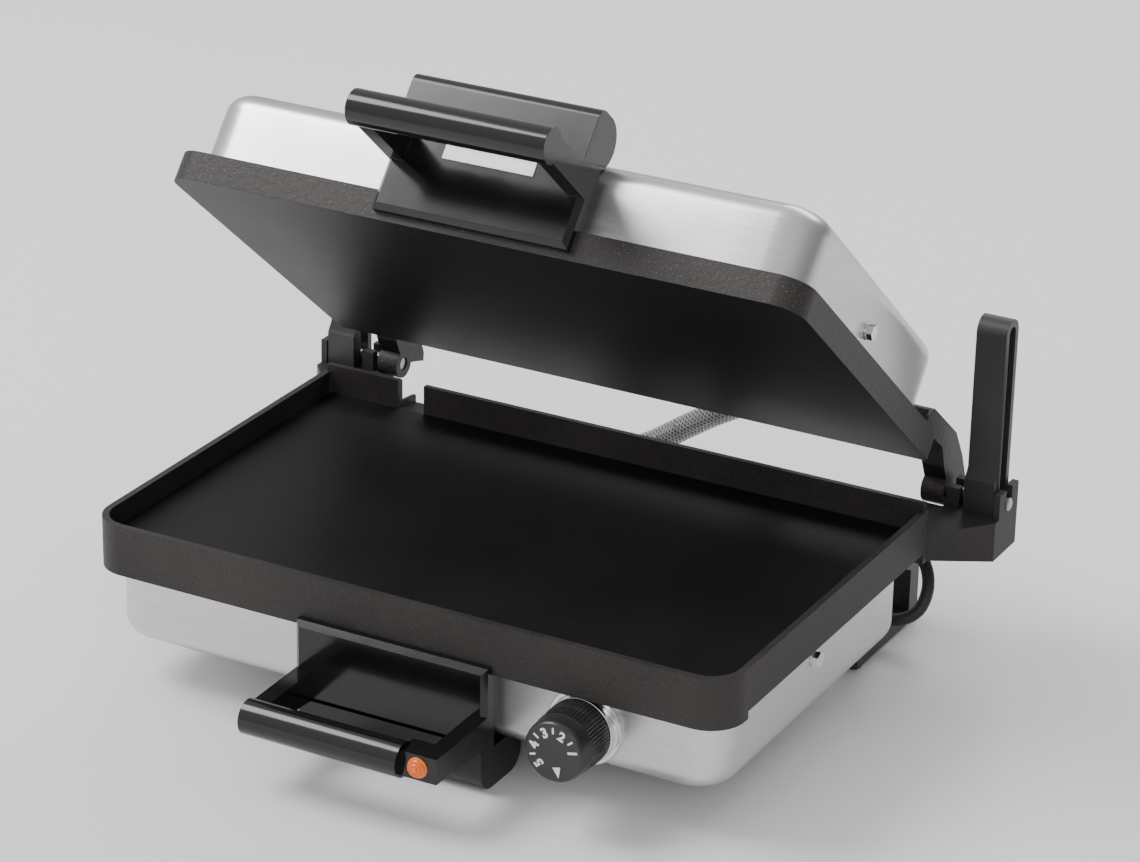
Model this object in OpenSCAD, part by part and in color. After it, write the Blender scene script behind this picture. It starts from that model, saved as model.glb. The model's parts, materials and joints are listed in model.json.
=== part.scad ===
// Panini press: a contact grill with a cast tray below, a cast lid plate above,
// drawn steel shells, bakelite handles and a floating rear hinge.
// Plate frame: x across, y back from the tray's front face, z up from the table.

/* [Plates] */
// Width of the lower plate over its rim
plate_w = 400; // [340:5:480]
// Depth of the lower plate, front face to rear wall
plate_d = 254; // [220:1:305]
// Height of the lower plate's front band
band_h = 30; // [26:1:36]
// How much shorter the side and rear bands are
side_step = 4.5; // [2:0.5:8]
// Thickness of the tray's rim
rim_t = 4; // [3:0.5:6]
// Depth from rim to cooking surface
tray_depth = 13.5; // [10:0.5:16]
// Thickness of the cast cooking floors
floor_t = 9.5; // [8:0.5:12]
// Wall of the castings' skirts
skirt_t = 6; // [5:0.5:7]
// Radius of the plates' upright corners
corner_r = 21; // [14:1:26]
// Height of the splash wall above the rim
wall_rise = 4.5; // [3:0.5:9]
// Thickness of the splash wall
wall_t = 3.5; // [3:0.5:6]
// Height of the lid plate's band
lid_band = 17; // [14:1:22]
// Clearance between the lid plate and the rim
lid_gap = 1.5; // [1:0.5:4]
// Clearance between the lid plate and the splash wall
lid_gap_back = 2.5; // [2.5:0.5:6]
// Gap between the closed cooking faces
plate_gap = 3; // [2:0.5:8]
// Width of the grease outlet in the splash wall
drain_w = 18; // [14:1:26]

/* [Shells] */
// Height of each steel shell beyond its casting
shell_h = 44; // [40:1:56]
// Crown of each shell's large face
shell_crown = 5; // [2:0.5:7]
// Distance from a casting's edge to its shell
shell_inset = 8; // [7.5:0.5:10]
// Thickness of the shells
shell_t = 1; // [0.8:0.1:1.5]
// Radius of a shell's edge
shell_edge_r = 12; // [8:1:16]
// Radius of a shell's upright corner
shell_corner_r = 24; // [18:1:28]

/* [Hinge] */
// Angle at which the lid stands open
lid_open = 40; // [0:1:100]
// Distance from the lower plate's back to the hinge axis
pivot_back = 50.5; // [46:0.5:60]
// Height of the hinge axis above the cooking surface
pivot_rise = 3.5; // [2:0.5:6]
// Diameter of the hinge pins
pin_d = 8; // [6:0.5:10]
// Height of the guide loops above the hinge arms
loop_h = 118; // [90:1:140]
// Width of the guide loops
loop_w = 18.5; // [14:0.5:22]
// Thickness of a guide loop's legs
loop_t = 4.3; // [3:0.1:6]
// Width of each lid lug
lug_w = 14; // [10:1:18]

/* [Handles] */
// Width of both handles
handle_w = 120; // [100:2:140]
// Height of the base handle with its spacer, on which the press stands
handle_h = 76; // [72:1:90]
// Height of the lid handle with its spacer
lid_handle_h = 78; // [74:1:90]
// Diameter of the grips
grip_d = 20; // [16:1:24]
// Distance from the casting's face to the lid grip's axis
grip_reach = 58; // [50:1:70]
// Distance from the casting's face to the base grip's axis
base_reach = 54; // [50:1:70]
// How far the lid handle laps the lid band
lid_lap = 12.5; // [6:0.5:14]
// Diameter of the pilot lamp
lamp_d = 12; // [8:0.5:14]

/* [Knob] */
// Diameter of the thermostat knob
knob_d = 38; // [32:1:44]
// Length of the thermostat knob
knob_l = 28.5; // [24:0.5:38]
// Distance of the knob from the middle of the press
knob_x = 113; // [100:1:125]
// Diameter of the thermostat shaft
shaft_d = 6; // [5:0.5:8]

/* [Fasteners] */
// Shank diameter of the side bolts
bolt_d = 5; // [4:0.5:6]
// Shank diameter of the small screws
screw_d = 4; // [3:0.5:5]

/* [Leads] */
// Diameter of the mains lead
cord_d = 7.5; // [6:0.5:9]
// Diameter of the braided conduit between the housings
conduit_d = 15; // [12:0.5:16]

/* [Hidden] */
$fn = 48;
bore_gap = 0.05;
slot_gap = 0.3;

// Heights, from the table upwards
lap_w = 5;
band_z = handle_h - lap_w;
shell_z = band_z - shell_h;
rim_z = band_z + band_h;
surface_z = rim_z - tray_depth;
floor_z = surface_z - floor_t;
wall_z = rim_z + wall_rise;
lid_z = surface_z + plate_gap;
lid_floor_z = lid_z + floor_t;
lid_top_z = lid_z + lid_band;

// Plan sizes
half_w = plate_w / 2;
shell_x = half_w - shell_inset;
shell_y0 = shell_inset;
shell_y1 = plate_d - shell_inset;
lid_x = half_w - rim_t - lid_gap;
lid_y0 = rim_t + lid_gap;
lid_y1 = plate_d - wall_t - lid_gap_back;
lid_shell_x = lid_x - shell_inset;
lid_shell_y0 = lid_y0 + shell_inset;
lid_shell_y1 = lid_y1 - shell_inset;

// Hinge
pivot_y = plate_d + pivot_back;
pivot_z = surface_z + pivot_rise;
pin_r = pin_d / 2;
arm_top = pivot_z - pin_r - 1;
arm_deep = 24;
arm_lip = 17;
lug_out = lid_x - 4.5;
lug_in = lug_out - lug_w;
ear_in = lug_out + 2.5;
loop_in = ear_in + 12;
loop_out = loop_in + loop_w;
ear_t = 4;
ear_out = loop_out + 0.5 + ear_t;
ear_half = 13.5;
loop_half = pin_r + 0.4 + loop_t;
lug_end_r = 9;
lug_l = pivot_y - lid_y1;
lug_points = [
    [-10, lid_band - 1], [-10, lid_band + 7], [-4, lid_band + 13], [lug_l - 16.5, lid_band + 14],
    [lug_l + 3.5, lid_band + 7], [lug_l + 19.5, lid_band - 1.5], [lug_l + 22.5, lid_band - 6],
    [lug_l + 11, lid_band - 11], [lug_l, 0], [lug_l - 18.5, lid_band - 8.5], [26, lid_band - 0.5]
];

// Side fixings
bolt_y = plate_d * 0.48;
bolt_drop = 8.5;
lid_bolt_rise = 13.5;
boss_l = 10;

// Handles
handle_t = 7;
plate_h = 47;
grip_up = 37;
foot_r = 12;
lid_end_r = 15;
lid_nose_r = 6;
handle_screw_x = 36;
handle_screw_up = 30;

// Knob
knob_z = shell_z + shell_h * 0.555;
knob_y = shell_y0 - 7.5;

// Conduit and lead
conduit_x = -45;
conduit_z = shell_z + 26;
lid_conduit_x = 95;
lid_conduit_z = lid_top_z + 20;
gland_x = 150;
gland_z = shell_z + 31;
relief_l = 26;
coil_x = -35;
coil_y = 338;
coil_r = 50;
coil_in = 35;
coil_z0 = 1;
coil_z1 = 23.5;
foot_x = 164.5;
foot_w = 12;
foot_y0 = plate_d - 23;
foot_y1 = plate_d + 60;
post_z = 36;
pad_t = 2;

// The mains lead, from its strain relief round the rear foot to the coil
lead_y = plate_d - 254;
cord_points = [
    [150, 272, gland_z], [150, 284, gland_z], [154, 295, gland_z - 1], [163, 301, gland_z - 3.5],
    [174, 301, gland_z - 8], [183, 296, 42], [187, 289, 32], [185, 282, 22], [177, 277, 16.5],
    [166, 276, 14.6], [154, 278, 13.8], [143, 281, 10], [133, 284, 6.2], [122, 286, 4.4], [108, 286, 4.1],
    [90, 285, 4.1], [70, 284, 4.1], [50, 284.5, 4.1], [30, 286.5, 4.1], [10, 289.5, 4.2], [-6, 291.2, 4.5],
    [-20, 291.7, 4.7]
];
// The lead's tail, from the coil to the plug
tail_points = [[-46, 291.7, 19.7], [-56, 290.6, 19.6], [-67, 289, 19.3], [-78, 288, 19], [-88, 288, 19]];
// The braided conduit with the lid at its open angle, from the base's nut to the lid's
function lid_at(y, z) = [
    pivot_y + (y - pivot_y) * cos(lid_open) + (z - pivot_z) * sin(lid_open),
    pivot_z - (y - pivot_y) * sin(lid_open) + (z - pivot_z) * cos(lid_open)
];
low_end = [conduit_x, shell_y1 + 8, conduit_z];
high_yz = lid_at(lid_shell_y1 + 8, lid_conduit_z);
high_end = [lid_conduit_x, high_yz[0], high_yz[1]];
low_points = [for (p = [[0, 0, 0], [1, 11, 0.5], [6, 22, 3], [17, 31, 11], [33, 35, 22], [52, 36, 33],
    [69, 36, 45]]) low_end + p];
high_points = concat([low_end + [69.6, 36.1, 45.4]], [for (p = [[-53, 6.3, -45.3], [-37, 8.3, -36.3],
    [-22, 11.3, -28.3], [-10, 13.3, -20.3], [-2.5, 11.3, -13.3], [0, 5.3, -4.5], [0, 0, 0]]) high_end + p]);

// Rear reach of the open lid's lugs, and the middle of the whole press
function turned(p) = (p[0] - lug_l) * cos(lid_open) + (p[1] - pivot_z + lid_z) * sin(lid_open);
lug_reach = max([for (p = lug_points) turned(p)]);
back_y = max(pivot_y + lug_reach, foot_y1);
front_y = -base_reach - grip_d / 2;
mid_y = (front_y + back_y) / 2;

// ---------- placing ----------

// Moves the plate frame so that the press stands centred on the origin
module placed() {
    translate([0, -mid_y, 0]) children();
}

// Swings the closed lid up to its open angle
module opened() {
    placed()
        translate([0, pivot_y, pivot_z])
            rotate([-lid_open, 0, 0])
                translate([0, -pivot_y, -pivot_z]) children();
}

module both_sides() {
    children();
    mirror([1, 0, 0]) children();
}

// ---------- shared shapes ----------

// Rectangle from y0 to y1 with round front corners and smaller rear corners
module plan(hw, y0, y1, rf, rb) {
    union() {
        translate([-hw + rf, y0]) square([2 * (hw - rf), y1 - y0 - rb]);
        translate([-hw + rb, y1 - rb - 1]) square([2 * (hw - rb), rb + 1]);
        translate([-hw, y0 + rf]) square([2 * hw, y1 - y0 - rf - rb]);
        for (s = [-1, 1]) {
            translate([s * (hw - rf), y0 + rf]) circle(rf);
            translate([s * (hw - rb), y1 - rb]) circle(rb);
        }
    }
}

module slab(hw, y0, y1, z0, z1, rf, rb) {
    translate([0, 0, z0]) linear_extrude(z1 - z0) plan(hw, y0, y1, rf, rb);
}

// Cylinders along x and y, by their start, length and radius
module rod_x(p, l, r) {
    translate(p) rotate([0, 90, 0]) cylinder(h = l, r = r);
}

module rod_y(p, l, r) {
    translate(p) rotate([-90, 0, 0]) cylinder(h = l, r = r);
}

// Extrudes a y-z outline along x
module along_x(x0, x1) {
    translate([x0, 0, 0]) rotate([90, 0, 90]) linear_extrude(x1 - x0) children();
}

// Solid of a drawn shell: open rim at z = 0, crowned face at z = h + crown
module shell_solid(hx, y0, y1, h, crown, grow) {
    edge = shell_edge_r - grow;
    post = shell_corner_r - grow;
    hull() {
        for (sx = [-1, 1], y = [y0 + shell_corner_r, y1 - shell_corner_r])
            translate([sx * (hx - shell_corner_r), y, 0])
                rotate_extrude($fn = 32) polygon(concat(
                    [[0, 0], [post, 0]],
                    [for (a = [0 : 18 : 90]) [post - edge + edge * cos(a), h - grow - edge + edge * sin(a)]],
                    [[0, h - grow]]
                ));
        translate([-hx * 0.45, (y0 + y1) / 2 - 45, 0]) cube([hx * 0.9, 90, h + crown - grow]);
    }
}

module shell(hx, y0, y1) {
    difference() {
        shell_solid(hx, y0, y1, shell_h + floor_rise, shell_crown, 0);
        translate([0, 0, -1]) shell_solid(hx, y0, y1, shell_h + floor_rise + 1, shell_crown, shell_t);
    }
}

// How far each shell reaches into its casting's skirt
floor_rise = lid_band - floor_t;
base_rise = floor_z - band_z;

// Serpentine tubular heater below z = 0, with four runs across
element_r = 4;
run_l = 145;
run_pitch = plate_d / 5;
module element(y_mid) {
    bend = run_pitch / 2;
    for (i = [0 : 3])
        rod_x([i == 0 || i == 3 ? -run_l - 12 : -run_l, y_mid + (i - 1.5) * run_pitch, -element_r],
            2 * run_l + (i == 0 || i == 3 ? 12 : 0), element_r);
    for (i = [0 : 2])
        translate([i == 1 ? -run_l : run_l, y_mid + (i - 1) * run_pitch, -element_r])
            rotate([0, 0, i == 1 ? 90 : -90])
                rotate_extrude(angle = 180) translate([bend, 0]) circle(element_r);
}

// Flat bars that hold the heater, and the screws between its runs
clamp_x = 84;
clamp_w = 16;
clamp_t = 3;
module clamps(y_mid) {
    for (s = [-1, 1])
        difference() {
            translate([s * clamp_x - clamp_w / 2, y_mid - 2 * run_pitch, -2 * element_r - clamp_t])
                cube([clamp_w, 4 * run_pitch, clamp_t]);
            for (t = [-1, 1])
                translate([s * clamp_x, y_mid + t * run_pitch, -2 * element_r - clamp_t - 1])
                    cylinder(h = clamp_t + 2, d = bolt_d + 2 * bore_gap);
        }
}

clamp_screw_bite = 5;
module clamp_screws(y_mid) {
    for (s = [-1, 1], t = [-1, 1])
        translate([s * clamp_x, y_mid + t * run_pitch, -2 * element_r - clamp_t]) {
            cylinder(h = 2 * element_r + clamp_t + clamp_screw_bite, d = bolt_d);
            translate([0, 0, -3]) cylinder(h = 3, d = 1.8 * bolt_d, $fn = 6);
        }
}

module clamp_bores(y_mid) {
    for (s = [-1, 1], t = [-1, 1])
        translate([s * clamp_x, y_mid + t * run_pitch, -1])
            cylinder(h = clamp_screw_bite + 1.5, d = bolt_d + 2 * bore_gap);
}

// Swept tube along points, carried without twist
function unit(v) = v / norm(v);
function way(p, i) = unit(p[min(i + 1, len(p) - 1)] - p[max(i - 1, 0)]);
function carried(p, i) = let (
    t = way(p, i),
    s = i == 0 ? [0, 0.1, 1] : carried(p, i - 1)
) unit(s - (s * t) * t);
function curve_at(p, i, t) = let (
    a = i > 0 ? p[i - 1] : 2 * p[0] - p[1],
    b = p[i],
    c = p[i + 1],
    d = i + 2 < len(p) ? p[i + 2] : 2 * c - b
) (2 * b + t * (c - a) + t * t * (2 * a - 5 * b + 4 * c - d) + t * t * t * (3 * b - a - 3 * c + d)) / 2;
function smooth(p, n) = concat(
    [for (i = [0 : len(p) - 2], k = [0 : n - 1]) curve_at(p, i, k / n)],
    [p[len(p) - 1]]
);

module tube(p, r, sides) {
    rings = [for (i = [0 : len(p) - 1])
        let (s = carried(p, i), q = cross(way(p, i), s))
            for (k = [0 : sides - 1]) p[i] + r * (cos(360 * k / sides) * s + sin(360 * k / sides) * q)];
    last = len(rings) - sides;
    walls = [for (i = [0 : len(p) - 2], k = [0 : sides - 1])
        let (a = i * sides + k, b = i * sides + (k + 1) % sides) [a, a + sides, b + sides, b]];
    ends = [[for (k = [0 : sides - 1]) k], [for (k = [sides - 1 : -1 : 0]) last + k]];
    polyhedron(points = rings, faces = concat(walls, ends));
}

// ---------- lower plate ----------

module arm_outline() {
    polygon([
        [half_w - 30, plate_d - skirt_t], [half_w - 30, pivot_y - 11.5], [ear_in - 1, pivot_y - 11.5],
        [ear_in - 1, pivot_y + ear_half], [ear_out, pivot_y + ear_half],
        [ear_out, pivot_y - ear_half - 5], [half_w, plate_d], [half_w, plate_d - skirt_t]
    ]);
}

module arm() {
    intersection() {
        linear_extrude(arm_top) arm_outline();
        along_x(0, ear_out + 1) polygon([
            [plate_d - skirt_t, arm_top - arm_lip], [plate_d, arm_top - arm_lip],
            [pivot_y - ear_half - 5, arm_top - arm_deep], [pivot_y + ear_half, arm_top - arm_deep],
            [pivot_y + ear_half, arm_top], [plate_d - skirt_t, arm_top]
        ]);
    }
}

// Upright ears with slots for the floating pin
module ears() {
    translate([ear_out - ear_t, pivot_y - ear_half, arm_top - 1]) cube([ear_t, 2 * ear_half, 16]);
    translate([ear_in, pivot_y - 9.5, arm_top - 1]) cube([8, 19, 13]);
}

module pin_slot() {
    slot_r = pin_r + slot_gap;
    rod_x([ear_in - 1, pivot_y, pivot_z], ear_out - ear_in + 2, slot_r);
    translate([ear_in - 1, pivot_y - slot_r, pivot_z]) cube([ear_out - ear_in + 2, 2 * slot_r, 30]);
}

module loop_screw_holes(d) {
    for (t = [-1, 1])
        translate([(loop_in + loop_out) / 2, pivot_y + t * (loop_half - loop_t / 2), arm_top - arm_deep - 1])
            cylinder(h = arm_deep + 2, d = d);
}

// Casting lugs inside the shell that the side bolts thread into
module bolt_boss(hx, z0, z1) {
    translate([hx - shell_t - boss_l, bolt_y - 8, z0]) cube([boss_l, 16, z1 - z0]);
}

drain_x = -139;
module chute() {
    cheek = 2;
    along_x(drain_x - drain_w / 2 - cheek, drain_x + drain_w / 2 + cheek) polygon([
        [plate_d - skirt_t, surface_z + 4], [plate_d + 18, surface_z + 1], [plate_d + 18, surface_z - 7],
        [plate_d - skirt_t, surface_z - 9]
    ]);
}

module chute_channel() {
    along_x(drain_x - drain_w / 2, drain_x + drain_w / 2) polygon([
        [plate_d - wall_t - 2, surface_z], [plate_d - wall_t - 2, wall_z + 1], [plate_d + 19, wall_z + 1],
        [plate_d + 19, surface_z - 4], [plate_d - wall_t, surface_z]
    ]);
}

module lower_plate() {
    color([0.13, 0.12, 0.12])
    placed() difference() {
        union() {
            slab(half_w, 0, plate_d, band_z, rim_z, corner_r, 3);
            translate([-half_w + 2, plate_d - wall_t, surface_z])
                cube([2 * half_w - 4, wall_t, wall_z - surface_z]);
            both_sides() arm();
            both_sides() ears();
            both_sides() bolt_boss(shell_x, band_z - 16, band_z + 2);
            chute();
        }
        // Tray above the floor
        slab(half_w - rim_t, rim_t, plate_d - wall_t, surface_z, wall_z + 1, corner_r - rim_t, 2);
        // Hollow below the floor, round the bolt bosses
        difference() {
            slab(half_w - skirt_t, skirt_t, plate_d - skirt_t, band_z - 20, floor_z, corner_r - skirt_t, 2);
            both_sides() bolt_boss(shell_x, band_z - 16, floor_z + 1);
        }
        // Side and rear bands are shallower than the front
        both_sides() translate([half_w - skirt_t, corner_r + 4, band_z - 1])
            cube([skirt_t + 1, plate_d - corner_r - 4 - skirt_t, side_step + 1]);
        translate([-half_w + 31, plate_d - skirt_t, band_z - 1])
            cube([2 * (half_w - 31), skirt_t + 1, side_step + 1]);
        chute_channel();
        both_sides() pin_slot();
        both_sides() loop_screw_holes(screw_d - 1 + 2 * bore_gap);
        both_sides() rod_x([shell_x - shell_t - boss_l - 1, bolt_y, band_z - bolt_drop],
            boss_l + 2, bolt_d / 2 + bore_gap);
        translate([0, 0, floor_z]) clamp_bores(plate_d / 2);
    }
}

// ---------- base housing and what it holds ----------

module base_housing() {
    color([0.78, 0.77, 0.76])
    placed() difference() {
        translate([0, 0, floor_z]) mirror([0, 0, 1]) difference() {
            shell_solid(shell_x, shell_y0, shell_y1, shell_h + base_rise, shell_crown, 0);
            translate([0, 0, -1])
                shell_solid(shell_x, shell_y0, shell_y1, shell_h + base_rise + 1, shell_crown, shell_t);
        }
        rod_x([-shell_x - 5, bolt_y, band_z - bolt_drop], 2 * shell_x + 10, bolt_d / 2 + 0.2);
        rod_y([knob_x, 0, knob_z], 20, 5.1);
        for (s = [-1, 1])
            rod_y([s * handle_screw_x, 0, band_z - handle_screw_up + lap_w], 20, screw_d / 2 + 0.2);
        rod_y([gland_x, shell_y1 - 5, gland_z], 10, 6.6);
        rod_y([conduit_x, shell_y1 - 5, conduit_z], 10, conduit_d / 2 - 1);
        for (s = [-1, 1])
            translate([s * foot_x, foot_y0 + 5, 0]) cylinder(h = 45, r = screw_d / 2 + 0.2);
    }
}

module lower_element() {
    color([0.45, 0.42, 0.40]) placed() translate([0, 0, floor_z]) element(plate_d / 2);
}

module lower_element_clamps() {
    color([0.6, 0.6, 0.6]) placed() translate([0, 0, floor_z]) clamps(plate_d / 2);
}

module lower_clamp_screws() {
    color([0.55, 0.55, 0.56]) placed() translate([0, 0, floor_z]) clamp_screws(plate_d / 2);
}

// Reflector sheet and fibre pad between the heater and the shell
shield_y0 = 52;
shield_y1 = plate_d - 48;
pad_top = shell_z + 23;
module lower_heat_shield() {
    color([0.8, 0.8, 0.8])
    placed() translate([-shell_x + 20, shield_y0, pad_top])
        cube([2 * shell_x - 40, shield_y1 - shield_y0, 1]);
}

module lower_insulation() {
    color([0.93, 0.9, 0.82])
    placed() {
        translate([-shell_x + 22, shield_y0 + 2, shell_z + 1.5])
            cube([2 * shell_x - 44, shield_y1 - shield_y0 - 4, pad_top - shell_z - 1.5]);
        translate([-80, plate_d / 2 - 40, shell_z - shell_crown + shell_t])
            cube([160, 80, shell_crown + 5]);
    }
}

thermo_w = 34;
module thermostat_body() {
    color([0.85, 0.82, 0.75])
    placed() difference() {
        union() {
            translate([knob_x - thermo_w / 2, shell_y0 + shell_t + 1.5, knob_z - thermo_w / 2])
                cube([thermo_w, 26, thermo_w]);
            rod_y([knob_x, shell_y0 - 2, knob_z], 6, 5);
        }
        rod_y([knob_x, shell_y0 - 4, knob_z], 16, shaft_d / 2 + bore_gap);
    }
}

// Bulb under the plate and its capillary back to the thermostat
module thermostat_sensor() {
    color([0.72, 0.45, 0.3])
    placed() {
        bulb_z = floor_z - 2.5;
        bulb_y = plate_d / 2 - run_pitch;
        start_y = shell_y0 + shell_t + 27.5;
        span = bulb_y - start_y;
        rod_x([knob_x - 8, bulb_y, bulb_z], 36, 2.5);
        tube(smooth([
            [knob_x, start_y, knob_z], [knob_x, start_y + 0.25 * span, knob_z + 1],
            [knob_x - 6, start_y + 0.55 * span, knob_z + 8],
            [knob_x - 12, start_y + 0.82 * span, bulb_z - 5],
            [knob_x - 12.5, start_y + 0.97 * span, bulb_z - 0.5], [knob_x - 8, bulb_y, bulb_z]
        ], 3), 1, 8);
    }
}

module terminal_block() {
    color([0.9, 0.88, 0.8])
    placed() difference() {
        translate([gland_x - 52, shell_y1 - 22, shell_z + 3]) cube([36, 14, 16]);
        for (i = [0 : 2])
            translate([gland_x - 46 + 12 * i, shell_y1 - 15, shell_z + 8]) cylinder(h = 12, r = 2.5);
    }
}

// ---------- handles: drawn as on the lid, outwards along -y and upwards along +z ----------

module handle(lap, reach, grip_x0, grip_x1) {
    axis_z = grip_up - lap;
    difference() {
        union() {
            translate([-handle_w / 2, -handle_t + 3, -lap]) cube([handle_w, handle_t - 3, plate_h]);
            hull() {
                translate([-handle_w / 2, -handle_t + 3, -lap]) cube([handle_w, 0.1, plate_h]);
                translate([-handle_w / 2 + 3, -handle_t, -lap + 3]) cube([handle_w - 6, 0.1, plate_h - 6]);
            }
            for (s = [-1, 1])
                along_x(s * (handle_w / 2 - 5) - 5, s * (handle_w / 2 - 5) + 5) polygon([
                    [-2, axis_z - 8], [-2, plate_h - lap], [-handle_t, plate_h - lap],
                    [-reach + 12, axis_z + 7.5], [-reach, axis_z + 7], [-reach, axis_z - 7]
                ]);
            rod_x([grip_x0, -reach, axis_z], grip_x1 - grip_x0, grip_d / 2);
        }
        for (s = [-1, 1])
            rod_y([s * handle_screw_x, -handle_t + 2, handle_screw_up - lap],
                handle_t, screw_d / 2 + bore_gap);
    }
}

// Spacer between shell and handle: its round end, from y_a to y_b, stands past the shell's edge
module spacer(lap, height, y_a, y_b, r, nose) {
    half = handle_w / 2 - 2.5;
    end_z = height - r - lap;
    plate_end = plate_h - lap;
    difference() {
        union() {
            translate([-half, 0, 0]) cube([2 * half, shell_inset, end_z]);
            translate([-half, y_a - r, plate_end]) cube([2 * half, r, end_z + r - nose - plate_end]);
            rod_x([-half, y_a, end_z], 2 * half, r);
            if (nose < r) {
                rod_x([-half, y_a - r + nose, end_z + r - nose], 2 * half, nose);
                translate([-half, y_a - r + nose, end_z]) cube([2 * half, r - nose, r]);
            }
            if (y_b > y_a) {
                translate([-half, y_a, end_z - r]) cube([2 * half, y_b - y_a, 2 * r]);
                rod_x([-half, y_b, end_z], 2 * half, r);
            }
        }
        // Room for the shell's face and rounded edge
        translate([-handle_w, shell_inset, -30])
            cube([2 * handle_w, 60, 30 + shell_h - shell_edge_r]);
        rod_x([-handle_w, shell_inset + shell_edge_r, shell_h - shell_edge_r],
            2 * handle_w, shell_edge_r + 0.1);
        // Room for the handle's plate
        translate([-handle_w, -30, -30]) cube([2 * handle_w, 30, 30 + plate_end]);
        for (s = [-1, 1])
            rod_y([s * handle_screw_x, -1, handle_screw_up - lap], 12, screw_d / 2 + 0.2);
    }
}

handle_screw_l = shell_inset + shell_t + 4;
module handle_screws(lap) {
    for (s = [-1, 1]) {
        rod_y([s * handle_screw_x, -4, handle_screw_up - lap], handle_screw_l + 1, screw_d / 2);
        rod_y([s * handle_screw_x, shell_inset + shell_t, handle_screw_up - lap], 2.5, screw_d);
    }
}

module on_base() {
    placed() translate([0, 0, band_z]) mirror([0, 0, 1]) children();
}

module on_lid() {
    opened() translate([0, lid_y0, lid_top_z]) children();
}

// Square block that ends the base grip at the right and holds the pilot lamp
lamp_x = handle_w / 2 - 11.5;
lamp_face = base_reach + 4;
lamp_bore = 12;
block_h = 15;
grip_end = handle_w / 2 - 22;
module lamp_block() {
    translate([grip_end - 1, -lamp_face, grip_up - block_h / 2 - lap_w])
        cube([handle_w / 2 - grip_end + 1, lamp_bore + 3, block_h]);
}

module base_handle() {
    color([0.05, 0.05, 0.05])
    on_base() difference() {
        union() {
            handle(lap_w, base_reach, -handle_w / 2, grip_end);
            lamp_block();
        }
        rod_y([lamp_x, -lamp_face - 1, grip_up - lap_w], lamp_bore + 1, lamp_d / 2 + 0.1);
    }
}

module base_handle_spacer() {
    color([0.07, 0.07, 0.07]) on_base() spacer(lap_w, handle_h, foot_r / 2, foot_r / 2 + 20, foot_r, foot_r);
}

module base_handle_screws() {
    color([0.6, 0.6, 0.62]) on_base() handle_screws(lap_w);
}

module pilot_lamp_lens() {
    color([0.95, 0.45, 0.05])
    on_base() translate([lamp_x, -lamp_face + 2, grip_up - lap_w]) rotate([90, 0, 0]) {
        cylinder(h = 3, d = lamp_d);
        translate([0, 0, 3]) cylinder(h = 3, r1 = lamp_d / 2, r2 = lamp_d / 2 - 2.5);
    }
}

module pilot_lamp_body() {
    color([0.85, 0.85, 0.8])
    on_base() rod_y([lamp_x, -lamp_face + 2, grip_up - lap_w], lamp_bore - 2.5, lamp_d / 2 - 1);
}

module lid_handle() {
    color([0.05, 0.05, 0.05]) on_lid() handle(lid_lap, grip_reach, -handle_w / 2, handle_w / 2);
}

module lid_handle_spacer() {
    color([0.07, 0.07, 0.07]) on_lid() spacer(lid_lap, lid_handle_h, 0, 0, lid_end_r, lid_nose_r);
}

module lid_handle_screws() {
    color([0.6, 0.6, 0.62]) on_lid() handle_screws(lid_lap);
}

// Blank rating badge stuck to the lid handle's face
module badge_plate() {
    color([0.75, 0.75, 0.76])
    on_lid() translate([-28, -handle_t - 0.6, 22]) cube([56, 0.6, 9]);
}

// ---------- side bolts ----------

module washer_at(hx, z) {
    difference() {
        rod_x([hx, bolt_y, z], 1, bolt_d);
        rod_x([hx - 1, bolt_y, z], 3, bolt_d / 2 + 0.1);
    }
}

module bolt_at(hx, z) {
    rod_x([hx - shell_t - boss_l + 1, bolt_y, z], boss_l + shell_t + 1, bolt_d / 2);
    translate([hx + 1, bolt_y, z]) rotate([0, 90, 0]) cylinder(h = 3.5, d = 1.85 * bolt_d, $fn = 6);
}

module base_side_bolts() {
    color([0.8, 0.8, 0.8]) placed() both_sides() bolt_at(shell_x, band_z - bolt_drop);
}

module base_side_washers() {
    color([0.75, 0.75, 0.75]) placed() both_sides() washer_at(shell_x, band_z - bolt_drop);
}

module lid_side_bolts() {
    color([0.8, 0.8, 0.8]) opened() both_sides() bolt_at(lid_shell_x, lid_top_z + lid_bolt_rise);
}

module lid_side_washers() {
    color([0.75, 0.75, 0.75]) opened() both_sides() washer_at(lid_shell_x, lid_top_z + lid_bolt_rise);
}

// ---------- rear feet ----------

// Leg on the table, riser up to the shell and a post that keeps the wound lead
module rear_foot() {
    difference() {
        union() {
            translate([foot_x - foot_w / 2, foot_y0, pad_t]) cube([foot_w, foot_y1 - foot_y0, 10 - pad_t]);
            translate([foot_x - foot_w / 2, foot_y0, 6]) cube([foot_w, 14, shell_z]);
            translate([foot_x - foot_w / 2, foot_y1 - foot_w, 6]) cube([foot_w, foot_w, post_z - 6]);
        }
        translate([0, 0, floor_z]) mirror([0, 0, 1])
            shell_solid(shell_x, shell_y0, shell_y1, shell_h + base_rise, shell_crown, -0.02);
        translate([foot_x, foot_y0 + 5, 15]) cylinder(h = 30, r = screw_d / 2 + bore_gap);
    }
}

module rear_foot_right() {
    color([0.06, 0.06, 0.06]) placed() rear_foot();
}

module rear_foot_left() {
    color([0.06, 0.06, 0.06]) placed() mirror([1, 0, 0]) rear_foot();
}

module rear_foot_screws() {
    color([0.6, 0.6, 0.62])
    placed() both_sides() translate([foot_x, foot_y0 + 5, 16]) {
        cylinder(h = shell_z - 13, r = screw_d / 2);
        translate([0, 0, shell_z - 13]) cylinder(h = 2.5, d = 1.6 * screw_d);
    }
}

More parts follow.
